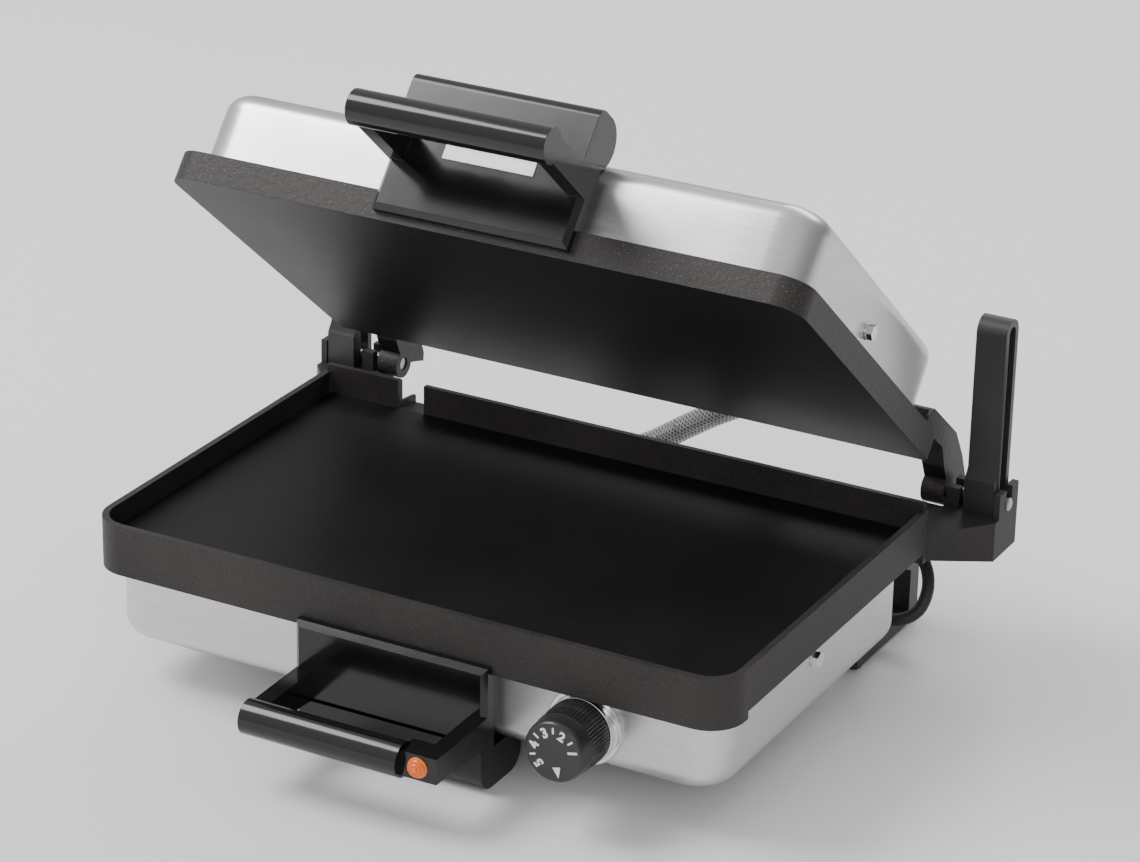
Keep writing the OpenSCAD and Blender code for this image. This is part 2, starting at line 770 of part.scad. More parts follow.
module foot_pads() {
    color([0.1, 0.1, 0.1])
    placed() both_sides() for (y = [foot_y0 + 7, foot_y1 - 7])
        translate([foot_x, y, 0]) cylinder(h = pad_t, r = 5);
}

// ---------- mains lead ----------

module cord_gland() {
    color([0.08, 0.08, 0.08])
    placed() difference() {
        union() {
            rod_y([gland_x, shell_y1 - 6, gland_z], 7, 6.4);
            rod_y([gland_x, shell_y1, gland_z], 4, 9.5);
            rod_y([gland_x, shell_y1 - shell_t - 4, gland_z], 4, 9);
        }
        rod_y([gland_x, shell_y1 - 7, gland_z], 12, cord_d / 2 + bore_gap);
    }
}

module cord_strain_relief() {
    color([0.07, 0.07, 0.07])
    placed() translate([gland_x, shell_y1 + 4, gland_z]) rotate([-90, 0, 0])
        cylinder(h = relief_l - 4, r1 = 7, r2 = cord_d / 2 + 0.8);
}

module cord() {
    color([0.05, 0.05, 0.05])
    placed() translate([0, lead_y, 0]) tube(smooth(cord_points, 2), cord_d / 2, 10);
}

module cord_coil() {
    color([0.05, 0.05, 0.05])
    placed() translate([coil_x, coil_y + lead_y, coil_z0]) difference() {
        cylinder(h = coil_z1 - coil_z0, r = coil_r);
        translate([0, 0, -1]) cylinder(h = coil_z1 - coil_z0 + 2, r = coil_in);
    }
}

module cord_tie() {
    color([0.15, 0.15, 0.15])
    placed() translate([coil_x, coil_y + lead_y, 0]) rotate([0, 0, 60]) difference() {
        translate([coil_in - 1.3, -4, 0]) cube([coil_r - coil_in + 2.3, 8, coil_z1 + 1]);
        translate([coil_in - 0.3, -5, coil_z0]) cube([coil_r - coil_in + 0.3, 10, coil_z1 - coil_z0]);
    }
}

module cord_tail() {
    color([0.05, 0.05, 0.05])
    placed() translate([0, lead_y, 0]) tube(smooth(tail_points, 2), cord_d / 2, 10);
}

plug_r = 19;
plug_l = 36;
module plug_body() {
    color([0.06, 0.06, 0.06])
    placed() translate([-88, 288 + lead_y, plug_r]) rotate([0, -90, 0]) difference() {
        union() {
            cylinder(h = plug_l, r1 = 9, r2 = 15);
            translate([0, 0, plug_l - 12]) cylinder(h = 12, r = plug_r);
        }
        for (s = [-1, 1])
            translate([0, s * 9.5, plug_l - 8]) cylinder(h = 10, r = 2.4 + bore_gap);
    }
}

module plug_pins() {
    color([0.85, 0.8, 0.6])
    placed() translate([-88 - plug_l + 8, 288 + lead_y, plug_r]) rotate([0, -90, 0])
        for (s = [-1, 1])
            translate([0, s * 9.5, 0]) cylinder(h = 27, r = 2.4);
}

// ---------- conduit between the housings ----------

module conduit_nut() {
    difference() {
        union() {
            rod_y([0, -4 - shell_t, 0], 4, conduit_d / 2 + 2);
            rod_y([0, -5, 0], 6, conduit_d / 2 - 1.2);
            rotate([-90, 0, 0]) cylinder(h = 8, r = conduit_d / 2 + 4, $fn = 6);
        }
        rod_y([0, -6, 0], 15, conduit_d / 2 - 3);
    }
}

module conduit_base_nut() {
    color([0.75, 0.74, 0.7]) placed() translate([conduit_x, shell_y1, conduit_z]) conduit_nut();
}

module conduit_lid_nut() {
    color([0.75, 0.74, 0.7]) opened() translate([lid_conduit_x, lid_shell_y1, lid_conduit_z]) conduit_nut();
}

module conduit_lower() {
    color([0.66, 0.66, 0.67]) placed() tube(smooth(low_points, 3), conduit_d / 2, 12);
}

module conduit_upper() {
    color([0.66, 0.66, 0.67]) placed() tube(smooth(high_points, 3), conduit_d / 2, 12);
}

// ---------- guide loops and hinge pins ----------

module guide_loop() {
    top = arm_top + loop_h - loop_half;
    inner = loop_half - loop_t;
    difference() {
        along_x(loop_in, loop_out) difference() {
            union() {
                translate([pivot_y - loop_half, arm_top]) square([2 * loop_half, top - arm_top]);
                translate([pivot_y, top]) circle(loop_half);
                polygon([
                    [pivot_y - loop_half - 4, arm_top], [pivot_y - loop_half - 4, arm_top + 21],
                    [pivot_y - loop_half, arm_top + 27], [pivot_y - loop_half + 1, arm_top + 27],
                    [pivot_y - loop_half + 1, arm_top]
                ]);
            }
            union() {
                translate([pivot_y - inner, arm_top - 1]) square([2 * inner, top - arm_top + 1]);
                translate([pivot_y, top]) circle(inner);
            }
        }
        for (t = [-1, 1])
            translate([(loop_in + loop_out) / 2, pivot_y + t * (loop_half - loop_t / 2), arm_top - 1])
                cylinder(h = 12, d = screw_d - 1 + 2 * bore_gap);
    }
}

module guide_loop_right() {
    color([0.1, 0.09, 0.09]) placed() guide_loop();
}

module guide_loop_left() {
    color([0.1, 0.09, 0.09]) placed() mirror([1, 0, 0]) guide_loop();
}

module guide_loop_screws() {
    color([0.5, 0.5, 0.5])
    placed() both_sides() for (t = [-1, 1])
        translate([(loop_in + loop_out) / 2, pivot_y + t * (loop_half - loop_t / 2), arm_top - arm_deep]) {
            cylinder(h = arm_deep + 10, d = screw_d - 1);
            translate([0, 0, -2]) cylinder(h = 2, r = screw_d - 1);
        }
}

module hinge_pin() {
    rod_x([lug_in + 1, pivot_y, pivot_z], ear_out - lug_in - 0.5, pin_r);
    rod_x([ear_out + 0.5, pivot_y, pivot_z], 0.6, pin_r - 0.8);
}

module hinge_pin_right() {
    color([0.7, 0.7, 0.72]) placed() hinge_pin();
}

module hinge_pin_left() {
    color([0.7, 0.7, 0.72]) placed() mirror([1, 0, 0]) hinge_pin();
}

// ---------- knob ----------

module knob_bezel() {
    color([0.8, 0.8, 0.82])
    placed() difference() {
        union() {
            rod_y([knob_x, shell_y0 - 2, knob_z], 2, knob_d / 2 + 3);
            rod_y([knob_x, shell_y0 - 7, knob_z], 6, knob_d / 2 + 0.2);
            translate([knob_x - 2, shell_y0 - 2, knob_z - knob_d / 2 - 6]) cube([4, 2, 8]);
        }
        rod_y([knob_x, shell_y0 - 8, knob_z], 9, 5.1);
    }
}

module knob() {
    color([0.04, 0.04, 0.04])
    placed() translate([knob_x, knob_y, knob_z]) rotate([90, 0, 0]) difference() {
        rotate_extrude() polygon([
            [0, 0], [knob_d / 2, 0], [knob_d / 2, 9], [knob_d / 2 - 0.8, 10],
            [knob_d / 2 - 1.2, knob_l - 2.5], [knob_d / 2 - 2.5, knob_l], [0, knob_l]
        ]);
        translate([0, 0, -1]) cylinder(h = 19, d = shaft_d + 0.04);
    }
}

module thermostat_shaft() {
    color([0.7, 0.7, 0.7]) placed() rod_y([knob_x, knob_y - 17, knob_z], 32, shaft_d / 2);
}

// ---------- lid ----------

module lug() {
    along_x(lug_in, lug_out) union() {
        polygon([for (p = lug_points) [lid_y1 + p[0], lid_z + p[1]]]);
        translate([pivot_y, pivot_z]) circle(lug_end_r);
    }
}

module upper_plate() {
    color([0.12, 0.11, 0.11])
    opened() difference() {
        union() {
            slab(lid_x, lid_y0, lid_y1, lid_z, lid_top_z, corner_r - rim_t, 4);
            both_sides() lug();
            both_sides() bolt_boss(lid_shell_x, lid_floor_z - 1, lid_top_z + 20);
        }
        difference() {
            slab(lid_x - skirt_t, lid_y0 + skirt_t, lid_y1 - skirt_t, lid_floor_z, lid_top_z + 25, 10, 2);
            both_sides() bolt_boss(lid_shell_x, lid_floor_z - 1, lid_top_z + 20);
        }
        both_sides() rod_x([lug_in - 1, pivot_y, pivot_z], lug_w + 2, pin_r + bore_gap);
        both_sides() rod_x([lid_shell_x - shell_t - boss_l - 1, bolt_y, lid_top_z + lid_bolt_rise],
            boss_l + 2, bolt_d / 2 + bore_gap);
        translate([0, 0, lid_floor_z]) mirror([0, 0, 1]) clamp_bores((lid_y0 + lid_y1) / 2);
    }
}

module lid_housing() {
    color([0.8, 0.79, 0.78])
    opened() difference() {
        translate([0, 0, lid_floor_z]) shell(lid_shell_x, lid_shell_y0, lid_shell_y1);
        rod_x([-lid_shell_x - 5, bolt_y, lid_top_z + lid_bolt_rise], 2 * lid_shell_x + 10, bolt_d / 2 + 0.2);
        for (s = [-1, 1])
            rod_y([s * handle_screw_x, lid_y0, lid_top_z + handle_screw_up - lid_lap],
                20, screw_d / 2 + 0.2);
        rod_y([lid_conduit_x, lid_shell_y1 - 5, lid_conduit_z], 10, conduit_d / 2 - 1);
    }
}

module in_lid() {
    opened() translate([0, 0, lid_floor_z]) mirror([0, 0, 1]) children();
}

module upper_element() {
    color([0.45, 0.42, 0.40]) in_lid() element((lid_y0 + lid_y1) / 2);
}

module upper_element_clamps() {
    color([0.6, 0.6, 0.6]) in_lid() clamps((lid_y0 + lid_y1) / 2);
}

module upper_clamp_screws() {
    color([0.55, 0.55, 0.56]) in_lid() clamp_screws((lid_y0 + lid_y1) / 2);
}

lid_pad_z = lid_top_z + shell_h - 18;
module upper_heat_shield() {
    color([0.8, 0.8, 0.8])
    opened() translate([-lid_shell_x + 20, lid_y0 + 25, lid_pad_z])
        cube([2 * lid_shell_x - 40, lid_y1 - lid_y0 - 50, 1]);
}

module upper_insulation() {
    color([0.93, 0.9, 0.82])
    opened() {
        translate([-lid_shell_x + 22, lid_y0 + 27, lid_pad_z + 1])
            cube([2 * lid_shell_x - 44, lid_y1 - lid_y0 - 54, 15.5]);
        translate([-80, (lid_y0 + lid_y1) / 2 - 40, lid_pad_z + 10])
            cube([160, 80, lid_top_z + shell_h + shell_crown - shell_t - lid_pad_z - 10]);
    }
}

lower_plate();
base_housing();
lower_element();
lower_element_clamps();
lower_clamp_screws();
lower_heat_shield();
lower_insulation();
thermostat_body();
thermostat_sensor();
terminal_block();
base_handle();
base_handle_spacer();
base_handle_screws();
pilot_lamp_lens();
pilot_lamp_body();
base_side_bolts();
base_side_washers();
rear_foot_left();
rear_foot_right();
rear_foot_screws();
foot_pads();
cord_gland();
cord_strain_relief();
cord();
cord_coil();
cord_tie();
cord_tail();
plug_body();
plug_pins();
conduit_base_nut();
conduit_lower();
guide_loop_left();
guide_loop_right();
guide_loop_screws();
knob_bezel();
knob();
thermostat_shaft();
hinge_pin_left();
hinge_pin_right();
upper_plate();
lid_housing();
upper_element();
upper_element_clamps();
upper_clamp_screws();
upper_heat_shield();
upper_insulation();
lid_handle();
lid_handle_spacer();
lid_handle_screws();
badge_plate();
lid_side_bolts();
lid_side_washers();
conduit_lid_nut();
conduit_upper();
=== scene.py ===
import json
import math

import bmesh
import bpy
from mathutils import Matrix, Vector

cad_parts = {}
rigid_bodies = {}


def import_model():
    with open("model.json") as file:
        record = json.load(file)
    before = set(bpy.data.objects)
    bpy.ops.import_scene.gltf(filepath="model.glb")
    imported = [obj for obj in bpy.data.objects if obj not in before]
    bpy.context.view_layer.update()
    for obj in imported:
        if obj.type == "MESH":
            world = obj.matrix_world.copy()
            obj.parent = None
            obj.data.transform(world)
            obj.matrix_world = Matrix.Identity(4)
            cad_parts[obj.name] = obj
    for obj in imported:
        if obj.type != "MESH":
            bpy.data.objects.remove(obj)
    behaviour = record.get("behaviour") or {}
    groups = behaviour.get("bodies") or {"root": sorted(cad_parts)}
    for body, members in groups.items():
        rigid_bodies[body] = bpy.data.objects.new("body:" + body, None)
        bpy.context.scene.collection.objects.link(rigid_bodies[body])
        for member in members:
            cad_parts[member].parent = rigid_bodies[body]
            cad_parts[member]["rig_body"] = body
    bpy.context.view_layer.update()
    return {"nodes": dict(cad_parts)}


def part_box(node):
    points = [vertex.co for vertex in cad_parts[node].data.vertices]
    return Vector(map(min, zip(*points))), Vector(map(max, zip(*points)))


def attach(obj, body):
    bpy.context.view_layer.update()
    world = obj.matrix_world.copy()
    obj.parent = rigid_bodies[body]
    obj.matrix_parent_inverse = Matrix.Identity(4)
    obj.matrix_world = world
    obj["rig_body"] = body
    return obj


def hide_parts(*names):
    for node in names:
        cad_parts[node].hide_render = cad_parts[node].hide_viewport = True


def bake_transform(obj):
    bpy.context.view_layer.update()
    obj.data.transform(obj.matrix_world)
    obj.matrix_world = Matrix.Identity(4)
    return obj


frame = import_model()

NODES = frame["nodes"]
Y0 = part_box("lower_plate")[0].y

# ---------------------------------------------------------------- places
# Millimetres in the plate frame: x across, y back from the tray's front, z up from the table.

PIVOT = (304.5, 91.0)
OPEN = math.radians(40)


def spot(x, y, z):
    return Vector((x / 1000, Y0 + y / 1000, z / 1000))


def opened(y, z):
    """Where a y-z point of the closed lid lies with the lid open."""
    dy, dz = y - PIVOT[0], z - PIVOT[1]
    back = PIVOT[0] + dy * math.cos(OPEN) + dz * math.sin(OPEN)
    return back, PIVOT[1] - dy * math.sin(OPEN) + dz * math.cos(OPEN)


def lid_spot(x, y, z):
    """A point of the closed lid, in its place with the lid open."""
    return spot(x, *opened(y, z))


# ---------------------------------------------------------------- camera

FOCAL = 127.59
EYE = spot(1000.73, -1674.08, 1051.41)

cam_data = bpy.data.cameras.new("camera")
cam = bpy.data.objects.new("camera", cam_data)
bpy.context.scene.collection.objects.link(cam)
bpy.context.scene.camera = cam
cam_data.sensor_width = 36
cam_data.lens = FOCAL
cam_data.clip_end = 30
azimuth, elevation, roll = math.radians(28.17), math.radians(23.57), math.radians(1.18)
forward = Vector((
    -math.sin(azimuth) * math.cos(elevation),
    math.cos(azimuth) * math.cos(elevation),
    -math.sin(elevation),
))
right = Vector((math.cos(azimuth), math.sin(azimuth), 0))
up = right.cross(forward)
right_r = math.cos(roll) * right + math.sin(roll) * up
up_r = -math.sin(roll) * right + math.cos(roll) * up
cam.matrix_world = Matrix.Translation(EYE) @ Matrix((
    (right_r.x, up_r.x, -forward.x, 0),
    (right_r.y, up_r.y, -forward.y, 0),
    (right_r.z, up_r.z, -forward.z, 0),
    (0, 0, 0, 1),
))


# ---------------------------------------------------------------- materials

def wire(mat, a, b):
    mat.node_tree.links.new(a, b)


def ramp(mat, source, stops):
    r = mat.node_tree.nodes.new("ShaderNodeValToRGB")
    while len(r.color_ramp.elements) < len(stops):
        r.color_ramp.elements.new(0.5)
    for element, (pos, value) in zip(r.color_ramp.elements, stops):
        element.position = pos
        element.color = (value, value, value, 1) if isinstance(value, (int, float)) else (*value, 1)
    wire(mat, source, r.inputs["Fac"])
    return r.outputs["Color"]


def noise(mat, coords, scale, detail=3, rough=0.5, stretch=None):
    if stretch:
        m = mat.node_tree.nodes.new("ShaderNodeMapping")
        m.inputs["Scale"].default_value = stretch
        wire(mat, coords, m.inputs["Vector"])
        coords = m.outputs["Vector"]
    n = mat.node_tree.nodes.new("ShaderNodeTexNoise")
    n.inputs["Scale"].default_value = scale
    n.inputs["Detail"].default_value = detail
    n.inputs["Roughness"].default_value = rough
    wire(mat, coords, n.inputs["Vector"])
    return n.outputs["Fac"]


def maths(mat, op, a, b=None, c=None):
    n = mat.node_tree.nodes.new("ShaderNodeMath")
    n.operation = op
    for k, v in enumerate((a, b, c)):
        if v is None:
            continue
        if isinstance(v, (int, float)):
            n.inputs[k].default_value = v
        else:
            wire(mat, v, n.inputs[k])
    return n.outputs[0]


def bump(mat, height, strength, distance, normal=None):
    b = mat.node_tree.nodes.new("ShaderNodeBump")
    b.inputs["Strength"].default_value = strength
    b.inputs["Distance"].default_value = distance
    wire(mat, height, b.inputs["Height"])
    if normal:
        wire(mat, normal, b.inputs["Normal"])
    return b.outputs["Normal"]


def mix(mat, fac, a, b):
    m = mat.node_tree.nodes.new("ShaderNodeMix")
    m.data_type = "RGBA"
    for sock, v in ((m.inputs[6], a), (m.inputs[7], b)):
        if isinstance(v, tuple):
            sock.default_value = (*v, 1)
        else:
            wire(mat, v, sock)
    if isinstance(fac, (int, float)):
        m.inputs[0].default_value = fac
    else:
        wire(mat, fac, m.inputs[0])
    return m.outputs[2]


def material(name, **shader):
    mat = bpy.data.materials.new(name)
    mat.use_nodes = True
    b = mat.node_tree.nodes["Principled BSDF"]
    for key, value in shader.items():
        sock = b.inputs[key.replace("_", " ")]
        sock.default_value = (*value, 1) if isinstance(value, tuple) else value
    mat.diffuse_color = (*shader.get("Base_Color", (0.5, 0.5, 0.5)), 1)
    return mat, b, coordinates(mat)


def coordinates(mat, which="Object"):
    c = mat.node_tree.nodes.new("ShaderNodeTexCoord")
    return c.outputs[which]


def cast_material(name, dark, light, rough_lo, rough_hi, grain, strength, spark, gleam=0.35):
    """Seasoned cast metal: sandy grain, cloudy tone, and tiny painted glints on the grain facets."""
    mat, b, co = material(name, Base_Color=dark, Metallic=0.0, Specular_IOR_Level=gleam)
    cloud = noise(mat, co, 14, 4, 0.6)
    fine = noise(mat, co, grain, 3, 0.6)
    coarse = noise(mat, co, grain * 0.35, 2, 0.5)
    # Painted glints: light flecks mixed into the base colour where grain facets would catch the light,
    # standing in for reflections.
    painted_glint = ramp(mat, noise(mat, co, grain * 1.6, 1, 0.4), [(0.66, 0.0), (0.74, 1.0)])
    tone = mix(mat, ramp(mat, cloud, [(0.35, 0.0), (0.7, 1.0)]), dark, light)
    tone = mix(mat, maths(mat, "MULTIPLY", painted_glint, spark), tone, (0.42, 0.38, 0.34))
    wire(mat, tone, b.inputs["Base Color"])
    rough = maths(mat, "MULTIPLY_ADD", maths(mat, "ADD", fine, cloud), (rough_hi - rough_lo) / 1.2, rough_lo)
    wire(mat, rough, b.inputs["Roughness"])
    height = maths(mat, "ADD", maths(mat, "MULTIPLY", fine, 0.6), coarse)
    wire(mat, bump(mat, height, strength, 0.0004), b.inputs["Normal"])
    return mat


def steel_material(name, along, tone=(0.66, 0.655, 0.65), low=0.22, high=0.36):
    """Brushed stainless: fine streaks along one direction, slight clouding."""
    mat, b, co = material(name, Base_Color=tone, Metallic=1.0, Anisotropic=0.35)
    stretch = {"x": (0.02, 1, 1), "y": (1, 0.02, 1)}[along]
    fine = noise(mat, co, 2600, 2, 0.5, stretch)
    broad = noise(mat, co, 420, 3, 0.6, stretch)
    cloud = noise(mat, co, 7, 3, 0.5)
    streak = maths(mat, "ADD", maths(mat, "MULTIPLY", fine, 0.6), maths(mat, "MULTIPLY", broad, 0.4))
    dark = tuple(c * 0.86 for c in tone)
    wire(mat, mix(mat, ramp(mat, streak, [(0.35, 0.0), (0.65, 1.0)]), dark, tone), b.inputs["Base Color"])
    rough = maths(mat, "MULTIPLY_ADD", streak, high - low, low)
    wire(mat, maths(mat, "MULTIPLY_ADD", cloud, 0.06, rough), b.inputs["Roughness"])
    wire(mat, bump(mat, streak, 0.12, 0.00008), b.inputs["Normal"])
    return mat


def plain_metal(name, tone, low, high, scale=900, strength=0.1, metallic=1.0):
    """Plated or ground metal with fine marks and soft stains."""
    mat, b, co = material(name, Base_Color=tone, Metallic=metallic)
    fine = noise(mat, co, scale, 3, 0.6)
    cloud = noise(mat, co, 60, 3, 0.6)
    stained = mix(mat, ramp(mat, cloud, [(0.3, 0.0), (0.75, 1.0)]), tuple(c * 0.8 for c in tone), tone)
    wire(mat, stained, b.inputs["Base Color"])
    wire(mat, maths(mat, "MULTIPLY_ADD", fine, high - low, low), b.inputs["Roughness"])
    wire(mat, bump(mat, fine, strength, 0.0001), b.inputs["Normal"])
    return mat


def gloss_material(name, tone, low, high, coat=0.0, wave=0.06):
    """Moulded bakelite: deep gloss with faint flow marks, dust and handling haze."""
    mat, b, co = material(name, Base_Color=tone, Coat_Weight=coat, Coat_Roughness=0.06)
    flow = noise(mat, co, 38, 3, 0.5)
    dust = ramp(mat, noise(mat, co, 2400, 2, 0.5), [(0.70, 0.0), (0.78, 1.0)])
    wire(mat, mix(mat, maths(mat, "MULTIPLY", dust, 0.08), tone, (0.4, 0.39, 0.37)), b.inputs["Base Color"])
    wire(mat, maths(mat, "MULTIPLY_ADD", flow, high - low, low), b.inputs["Roughness"])
    wire(mat, bump(mat, flow, wave, 0.0008), b.inputs["Normal"])
    return mat


def matte_material(name, tone, low, high, scale=700, strength=0.2, distance=0.0002):
    mat, b, co = material(name, Base_Color=tone)
    fine = noise(mat, co, scale, 4, 0.6)
    cloud = noise(mat, co, 30, 3, 0.5)
    dark, light = tuple(c * 0.75 for c in tone), tuple(min(1, c * 1.2) for c in tone)
    wire(mat, mix(mat, cloud, dark, light), b.inputs["Base Color"])
    wire(mat, maths(mat, "MULTIPLY_ADD", fine, high - low, low), b.inputs["Roughness"])
    wire(mat, bump(mat, fine, strength, distance), b.inputs["Normal"])
    return mat


LOOKS = {}
SEASONED = ((0.0065, 0.0058, 0.006), (0.010, 0.009, 0.009))
LOOKS["cast"] = cast_material(
    "cast_side", (0.019, 0.0165, 0.0155), (0.032, 0.028, 0.0255), 0.40, 0.60, 1100, 0.55, 0.14)
LOOKS["cast_lid"] = cast_material(
    "cast_lid_side", (0.021, 0.018, 0.017), (0.036, 0.031, 0.028), 0.34, 0.54, 900, 0.75, 0.26)
LOOKS["cook"] = cast_material("cooking_face", *SEASONED, 0.40, 0.52, 2200, 0.14, 0.02, 0.22)
LOOKS["cook_lid"] = cast_material("lid_cooking_face", *SEASONED, 0.36, 0.48, 2200, 0.12, 0.02, 0.24)
LOOKS["steel"] = steel_material("brushed_steel", "x")
LOOKS["steel_side"] = steel_material("brushed_steel_side", "y")
LOOKS["bright"] = plain_metal("bright_steel", (0.80, 0.80, 0.80), 0.10, 0.22)
LOOKS["pin"] = plain_metal("ground_pin", (0.42, 0.41, 0.40), 0.22, 0.38)
LOOKS["zinc"] = plain_metal("zinc_plate", (0.62, 0.62, 0.64), 0.25, 0.42)
LOOKS["bakelite"] = gloss_material("black_bakelite", (0.006, 0.0056, 0.0058), 0.08, 0.20, 0.0)
LOOKS["knob"] = gloss_material("satin_bakelite", (0.020, 0.019, 0.019), 0.26, 0.36, 0.0, 0.04)
LOOKS["spacer"] = gloss_material("black_spacer", (0.007, 0.0066, 0.0068), 0.12, 0.26, 0.0)
LOOKS["paint"] = matte_material("black_paint", (0.022, 0.020, 0.020), 0.36, 0.52, 1200, 0.22)
LOOKS["rubber"] = matte_material("black_rubber", (0.018, 0.018, 0.018), 0.45, 0.62, 900, 0.12)
LOOKS["sheath"] = plain_metal("heater_sheath", (0.26, 0.23, 0.21), 0.4, 0.6)
LOOKS["fibre"] = matte_material("pressed_fibre", (0.72, 0.68, 0.58), 0.85, 0.98, 260, 0.7, 0.001)
LOOKS["ceramic"] = matte_material("ceramic", (0.78, 0.75, 0.68), 0.30, 0.45, 300, 0.1)
LOOKS["copper"] = plain_metal("copper", (0.72, 0.38, 0.24), 0.25, 0.4)
LOOKS["nickel"] = plain_metal("nickel", (0.72, 0.70, 0.64), 0.18, 0.32)
LOOKS["white"] = matte_material("white_ink", (0.80, 0.80, 0.78), 0.45, 0.6, 900, 0.05)
LOOKS["label"] = plain_metal("label_silver", (0.50, 0.49, 0.50), 0.34, 0.46, 1500, 0.05)


def amber():
    """Clear orange plastic, lit faintly from inside."""
    mat, b, co = material(
        "amber_lens", Base_Color=(0.85, 0.16, 0.004), IOR=1.49, Coat_Weight=0.6, Coat_Roughness=0.05)
    grain = noise(mat, co, 500, 2, 0.5)
    wire(mat, maths(mat, "MULTIPLY_ADD", grain, 0.12, 0.12), b.inputs["Roughness"])
    wire(mat, mix(mat, grain, (0.60, 0.085, 0.002), (0.95, 0.22, 0.008)), b.inputs["Base Color"])
    b.inputs["Emission Color"].default_value = (1.0, 0.17, 0.0, 1)
    b.inputs["Emission Strength"].default_value = 0.12
    wire(mat, bump(mat, grain, 0.3, 0.0003), b.inputs["Normal"])
    return mat


LOOKS["amber"] = amber()


def braid():
    """Crossing strands of fine wire, laid out along the conduit by its UV map."""
    mat, b, _ = material("wire_braid", Base_Color=(0.62, 0.62, 0.63), Metallic=0.9)
    sep = mat.node_tree.nodes.new("ShaderNodeSeparateXYZ")
    wire(mat, coordinates(mat, "UV"), sep.inputs[0])
    u, v = sep.outputs[0], sep.outputs[1]
    lay_length = 0.030
    carriers = 12 * 2 * math.pi
    wires = 72 * 2 * math.pi

    def wave(around, along):
        return maths(mat, "SINE", maths(mat, "MULTIPLY_ADD", u, around, maths(mat, "MULTIPLY", v, along)))

    one = wave(carriers, carriers / lay_length)
    two = wave(carriers, -carriers / lay_length)
    over = maths(mat, "SINE", maths(mat, "MULTIPLY", v, carriers / lay_length))
    above, below = maths(mat, "MULTIPLY_ADD", over, 0.2, one), maths(mat, "MULTIPLY_ADD", over, -0.2, two)
    strands = maths(mat, "MAXIMUM", above, below)
    fine = wave(wires, wires / lay_length)
    height = maths(mat, "MULTIPLY_ADD", fine, 0.15, strands)
    # Painted shade: the braid's colour is darker where strands dip under their neighbours and lighter on
    # their crowns.
    depth = maths(mat, "MULTIPLY_ADD", strands, 0.5, 0.5)
    painted_weave_shade = ramp(mat, depth, [(0.35, (0.16, 0.16, 0.165)), (0.8, (0.66, 0.66, 0.67))])
    wire(mat, painted_weave_shade, b.inputs["Base Color"])
    wire(mat, maths(mat, "MULTIPLY_ADD", fine, 0.05, 0.32), b.inputs["Roughness"])
    wire(mat, bump(mat, height, 0.8, 0.0006), b.inputs["Normal"])
    return mat


LOOKS["braid"] = braid()

# ---------------------------------------------------------------- mesh helpers


def put(name, mesh, mats, body, replaces=(), smooth=35):
    obj = bpy.data.objects.new(name, mesh)
    bpy.context.scene.collection.objects.link(obj)
    for m in mats:
        mesh.materials.append(LOOKS[m])
    mesh.polygons.foreach_set("use_smooth", [True] * len(mesh.polygons))
    mesh.set_sharp_from_angle(angle=math.radians(smooth))
    mesh.update()
    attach(obj, body)
    if replaces:
        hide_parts(*replaces)
    return obj


def mesh_of(name, verts, faces):
    mesh = bpy.data.meshes.new(name)
    mesh.from_pydata([tuple(v) for v in verts], [], faces)
    bm = bmesh.new()
    bm.from_mesh(mesh)
    bmesh.ops.recalc_face_normals(bm, faces=bm.faces)
    bm.to_mesh(mesh)
    bm.free()
    return mesh


def refined(cad, mats, width=0.8, segments=2, angle=32, pick=None, smooth=35):
    """A piece with the CAD node's own form, its edges rounded the way a casting or moulding has them."""
    source = NODES[cad]
    body = source["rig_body"]
    bm = bmesh.new()
    bm.from_mesh(source.data)
    bmesh.ops.remove_doubles(bm, verts=bm.verts, dist=2e-6)
    bmesh.ops.dissolve_limit(bm, angle_limit=math.radians(1.0), verts=bm.verts, edges=bm.edges)
    bmesh.ops.recalc_face_normals(bm, faces=bm.faces)
    mesh = bpy.data.meshes.new(cad + "_form")
    bm.to_mesh(mesh)
    bm.free()
    temp = bpy.data.objects.new(cad + "_form", mesh)
    bpy.context.scene.collection.objects.link(temp)
    mod = temp.modifiers.new("bevel", "BEVEL")
    mod.width = width / 1000
    mod.segments = segments
    mod.limit_method = "ANGLE"
    mod.angle_limit = math.radians(angle)
    mod.miter_outer = "MITER_ARC"
    mod.use_clamp_overlap = True
    mod.harden_normals = False
    done = bpy.data.meshes.new_from_object(temp.evaluated_get(bpy.context.evaluated_depsgraph_get()))
    bpy.data.objects.remove(temp)
    done.name = cad + "_form"
    done.materials.clear()
    obj = put(cad + "_form", done, mats, body, [cad], smooth)
    if pick:
        done.polygons.foreach_set("material_index", [pick(p.center, p.normal) for p in done.polygons])
    w = obj.modifiers.new("normals", "WEIGHTED_NORMAL")
    w.keep_sharp = True
    w.weight = 60
    return obj


def finish_nodes(names, key):
    for n in names:
        data = NODES[n].data
        if not data.materials:
            data.materials.append(LOOKS[key])
        for k in range(len(data.materials)):
            data.materials[k] = LOOKS[key]


def lathe(name, profile, centre, turn, segments=96, ripple=None):
    """Turns (radius, height) points, in millimetres, about an axis through centre."""
    verts, faces = [], []
    for r, h in profile:
        for k in range(segments):
            a = 2 * math.pi * k / segments
            rr = r + (ripple(r, h, k) if ripple else 0)
            verts.append(centre + turn @ Vector((rr * math.cos(a), rr * math.sin(a), h)) / 1000)
    for j in range(len(profile) - 1):
        for k in range(segments):
            q = (k + 1) % segments
            faces.append((j * segments + k, j * segments + q, (j + 1) * segments + q, (j + 1) * segments + k))
    faces.append(tuple(range(segments)))
    faces.append(tuple((len(profile) - 1) * segments + k for k in reversed(range(segments))))
    return mesh_of(name, verts, faces)


TO_FRONT = Matrix.Rotation(math.radians(90), 3, "X")
TILT = Matrix.Rotation(-OPEN, 3, "X")

# ---------------------------------------------------------------- cords first

LEAD = 7.5


